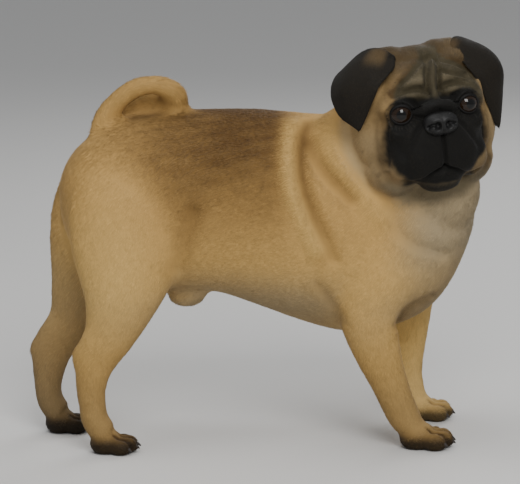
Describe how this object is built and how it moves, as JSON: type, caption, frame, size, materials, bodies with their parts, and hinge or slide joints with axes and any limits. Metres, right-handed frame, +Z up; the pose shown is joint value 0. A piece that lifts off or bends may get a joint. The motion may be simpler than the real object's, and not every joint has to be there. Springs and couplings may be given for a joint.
{
  "type": "dog model",
  "caption": "Life-size standing model of a short-coated, flat-faced toy dog with button ears and a curled tail, its head turned to its right.",
  "frame": {"origin": "on the floor, under the middle of the model's bounding box", "axes": "+X from the tail to the chest, +Y to the dog's left, +Z up"},
  "size_m": [0.4154, 0.1942, 0.3517],
  "materials": {
    "coat": "short flat fawn coat",
    "black_coat": "short black coat, velvety",
    "nose_leather": "damp, finely pebbled black skin",
    "eye": "wet, clear and very glossy over dark brown"
  },
  "bodies": {
    "root": {"head": "coat", "neck": "coat", "torso": "coat", "tail": "coat", "foreleg_left": "coat", "foreleg_right": "coat", "hindleg_left": "coat", "hindleg_right": "coat", "ear_left": "black_coat", "ear_right": "black_coat", "nose": "nose_leather", "eye_left": "eye", "eye_right": "eye"}
  },
  "joints": []
}
